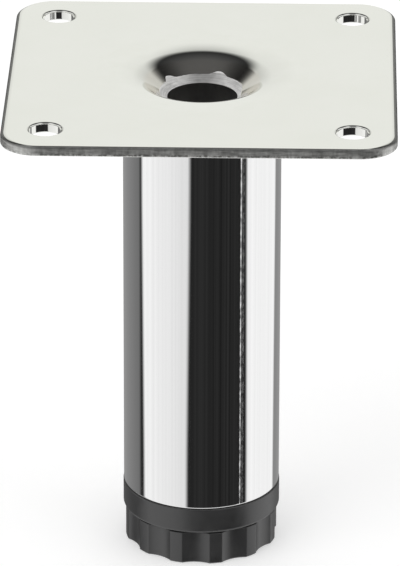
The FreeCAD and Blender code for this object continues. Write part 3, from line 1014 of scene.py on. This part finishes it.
# and round them a dark room, with a pale wall behind that ends under a dim ceiling; angles are
# in degrees, and the other pairs are parts of a mirrored ray along X (to the sides), Y or Z
studio = {
    "ambient": 0.62,
    "streak": 0.08,              # how much the cards vary along their width
    "streakCount": 11.0,
    "cardDrop": (-0.395, -0.437),    # Z over which the cards draw in
    "frontTone": 0.02,
    "frontStreaks": (0.5, 1.5),
    "rearEdge": (100, 105),
    "rearTurn": (106, 170),
    "rearTones": (0.17, 0.32),   # beside the cards and right behind
    "wallTone": (0.845, 0.852, 0.82),
    "wallTop": (33, 58),         # pitch over which the wall ends
    "wallHalf": (0.66, 0.56),    # X over which it ends sideways
    "wallDims": (0.05, 0.5),     # X over which it dims
    "wallDim": 0.7,              # its ends, against its middle
    "wallFoot": 0.08,            # its dark foot, away from its middle
    "footAside": (0.05, 0.15),
    "footTop": (0.05, -0.05),
    "footBack": (0.2, 0.4),
    "gapTone": 0.03,             # just over the wall
    "ceilingTone": 0.17,         # at the front
    "ceilingPitch": (60, 150),
    "ceilingAside": (0.42, 0.66),
    "ceilingDim": 0.42,          # its sides, against its middle
    "frontCard": 0.6,            # a low card at the front
    "frontLow": (172, 167),
    "frontHigh": (148, 153),
    "sideCard": 0.78,            # and one on each side and at the front corners
    "sideAside": (0.74, 0.86),
    "cornerAside": (0.2, 0.4),
    "cornerFront": (-0.1, -0.3),
    "horizonFall": -0.40,        # how the horizon falls towards the back
    "horizonSoft": 0.05,
    "table": grey(0.90),
    "tableEdge": (-0.55, -0.72),
}


def cardMask(tree, azimuth, further, card):
    # one between the card's edges, which draw in further down
    drawn = calc(tree, "MULTIPLY", further, radians(card["narrows"]))
    start, end, half = (radians(angle) for angle in (card["from"], card["to"], card["soft"] / 2))
    rising = between(tree, calc(tree, "SUBTRACT", azimuth, drawn), start - half, start + half,
                     smooth=True)
    falling = between(tree, calc(tree, "ADD", azimuth, drawn), end + half, end - half, smooth=True)
    return calc(tree, "MULTIPLY", rising, falling)


def overAngles(tree, angle, name, *tones, smooth=False):
    return between(tree, angle, *(radians(limit) for limit in studio[name]), *tones, smooth=smooth)


def lowRoom(tree, azimuth, further):
    # what an upright wall mirrors: the cards, the dark room before them and a grey one behind
    turned = calc(tree, "ABSOLUTE", azimuth)
    uneven = addNode(tree, "ShaderNodeTexNoise", {"noise_dimensions": "1D"}, W=turned,
                     Scale=studio["streakCount"], Detail=4.0, Roughness=0.6).outputs[0]
    rear = overAngles(tree, turned, "rearTurn", *studio["rearTones"])
    front = calc(tree, "MULTIPLY", vary(tree, uneven, *studio["frontStreaks"]), studio["frontTone"])
    tone = overAngles(tree, turned, "rearEdge", front, rear)
    for card in cards:
        across = between(tree, azimuth, radians(card["from"]), radians(card["to"]), *card["tones"])
        across = calc(tree, "MULTIPLY", across, vary(tree, uneven, 1 - studio["streak"], 1.0))
        tone = between(tree, cardMask(tree, azimuth, further, card), 0.0, 1.0, tone, across)
    return tone


def highRoom(tree, axes):
    # what a level plate mirrors: a pale wall behind that ends in a straight edge, then a ceiling
    pitch = calc(tree, "ARCTAN2", calc(tree, "MAXIMUM", axes["Z"], 0.0), axes["Y"])
    aside = calc(tree, "ABSOLUTE", axes["X"])
    over = overAngles(tree, pitch, "ceilingPitch", studio["gapTone"], studio["ceilingTone"])
    over = calc(tree, "MULTIPLY", over,
                between(tree, aside, *studio["ceilingAside"], 1.0, studio["ceilingDim"]))
    wallShare = calc(tree, "MULTIPLY",
                     between(tree, aside, *studio["wallDims"], 1.0, studio["wallDim"]),
                     between(tree, aside, *studio["wallHalf"], smooth=True))
    wall = mixColour(tree, 1.0, studio["wallTone"], wallShare, "MULTIPLY")
    tone = mixColour(tree, overAngles(tree, pitch, "wallTop", smooth=True), wall, over)
    wallFoot = calc(tree, "MULTIPLY", between(tree, aside, *studio["footAside"]),
                    between(tree, axes["Z"], *studio["footTop"]))
    wallFoot = calc(tree, "MULTIPLY", wallFoot, between(tree, axes["Y"], *studio["footBack"]))
    tone = mixColour(tree, wallFoot, tone, grey(studio["wallFoot"]))
    # pale cards for what stands turned away from the wall
    facing = calc(tree, "MULTIPLY", overAngles(tree, pitch, "frontHigh"),
                  overAngles(tree, pitch, "frontLow"))
    tone = mixColour(tree, facing, tone, grey(studio["frontCard"]))
    corner = calc(tree, "MULTIPLY", between(tree, aside, *studio["cornerAside"]),
                  between(tree, axes["Y"], *studio["cornerFront"]))
    beside = between(tree, aside, *studio["sideAside"], smooth=True)
    return mixColour(tree, calc(tree, "MAXIMUM", beside, corner), tone, grey(studio["sideCard"]))


def makeStudio():
    world = bpy.data.worlds.new("studio")
    scene.world = world
    world.use_nodes = True
    tree = world.node_tree
    axes = splitAxes(tree, addNode(tree, "ShaderNodeTexCoord").outputs["Generated"])
    azimuth = calc(tree, "ARCTAN2", axes["X"], calc(tree, "MULTIPLY", axes["Y"], -1.0))
    further = between(tree, axes["Z"], *studio["cardDrop"])
    horizon = calc(tree, "MULTIPLY", calc(tree, "MAXIMUM", axes["Y"], 0.0), studio["horizonFall"])
    upper = between(tree, calc(tree, "SUBTRACT", axes["Z"], horizon), 0.0, studio["horizonSoft"],
                    smooth=True)
    mirrored = mixColour(tree, upper, lowRoom(tree, azimuth, further), highRoom(tree, axes))
    steep = between(tree, axes["Z"], *studio["tableEdge"], smooth=True)
    mirrored = mixColour(tree, steep, mirrored, studio["table"])
    path = addNode(tree, "ShaderNodeLightPath").outputs
    lit = mixColour(tree, path["Is Glossy Ray"], grey(studio["ambient"]), mirrored)
    seen = mixColour(tree, path["Is Camera Ray"], lit, grey(1.0))
    tree.links.new(seen, tree.nodes["Background"].inputs["Color"])


makeStudio()
print("studio: floor,", len(lamps), "lamps and the mirrored cards")


# Camera, at the photograph's viewing angle: a long lens a metre off

camera = {
    "at": (0.021488, -1.000370, 0.501246),
    "forward": (-0.0199226, 0.912294, -0.409051),
    "up": (-0.011322, 0.408900, 0.912509),
    "lens": 365.0,
    "sensor": 36.0,
}


def makeCamera():
    data = bpy.data.cameras.new("camera")
    data.lens = camera["lens"]
    data.sensor_width = camera["sensor"]
    holder = bpy.data.objects.new("camera", data)
    forward, up = Vector(camera["forward"]).normalized(), Vector(camera["up"]).normalized()
    right = forward.cross(up).normalized()
    up = right.cross(forward)
    turned = Matrix((right, up, -forward)).transposed()
    holder.matrix_world = Matrix.Translation(camera["at"]) @ turned.to_4x4()
    scene.collection.objects.link(holder)
    scene.camera = holder


makeCamera()
